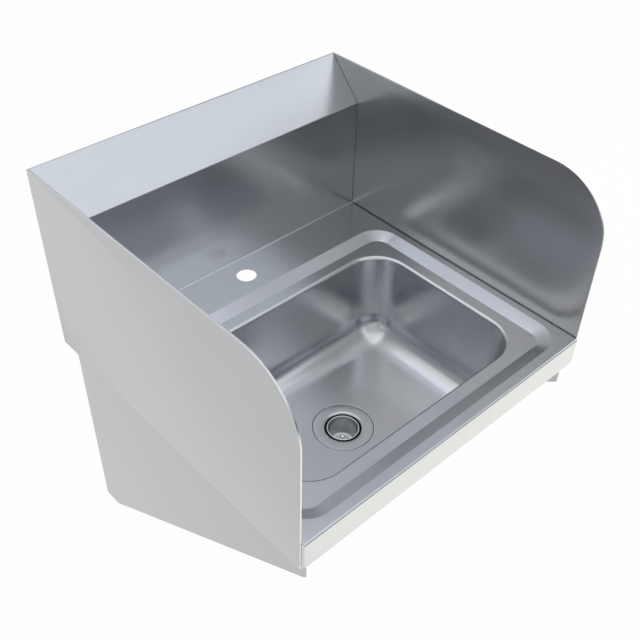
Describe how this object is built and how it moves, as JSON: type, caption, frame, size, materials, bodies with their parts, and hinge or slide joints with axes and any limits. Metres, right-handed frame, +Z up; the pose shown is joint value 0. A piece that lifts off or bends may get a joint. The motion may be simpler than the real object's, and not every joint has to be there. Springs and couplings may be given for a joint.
{
  "type": "wall-hung hand wash sink",
  "caption": "Wall-hung stainless hand wash sink with a drawn bowl, sloped backsplash, side splash panels, support brackets, hook-on hanger and a strainer drain.",
  "frame": {"origin": "middle of the wall hanger's screw line, on the wall plane", "axes": "+X to the right as seen by the user, +Y into the wall, +Z up"},
  "size_m": [0.4356, 0.431, 0.5379],
  "materials": {
    "sink_sheet": "satin",
    "bowl_sheet": "satin",
    "splash_sheet": "satin",
    "bracket_sheet": "satin",
    "hanger_sheet": "mill",
    "drain_steel": "polished",
    "seal_rubber": "matte",
    "black_rubber": "matte",
    "fibre": "matte",
    "nut_brass": "machined",
    "pipe_chrome": "polished",
    "white_plastic": "matte",
    "nut_chrome": "polished",
    "cup_steel": "polished",
    "knob_steel": "polished"
  },
  "bodies": {
    "sink": {"deck_and_backsplash": "sink_sheet", "bowl": "bowl_sheet", "left_side_splash": "splash_sheet", "right_side_splash": "splash_sheet", "left_support_bracket": "bracket_sheet", "right_support_bracket": "bracket_sheet", "wall_hanger": "hanger_sheet", "drain_body": "drain_steel", "flange_seal": "seal_rubber", "drain_gasket": "black_rubber", "friction_washer": "fibre", "drain_locknut": "nut_brass", "tailpiece": "pipe_chrome", "tailpiece_washer": "white_plastic", "coupling_nut": "nut_chrome"},
    "strainer": {"strainer_cup": "cup_steel", "cup_seal_ring": "black_rubber", "lift_knob": "knob_steel", "knob_nut": "knob_steel"}
  },
  "joints": [
    {"name": "strainer_lift", "type": "slide", "parent": "sink", "child": "strainer", "axis": [0, 0, 1], "range_m": [0, 0.045]}
  ]
}
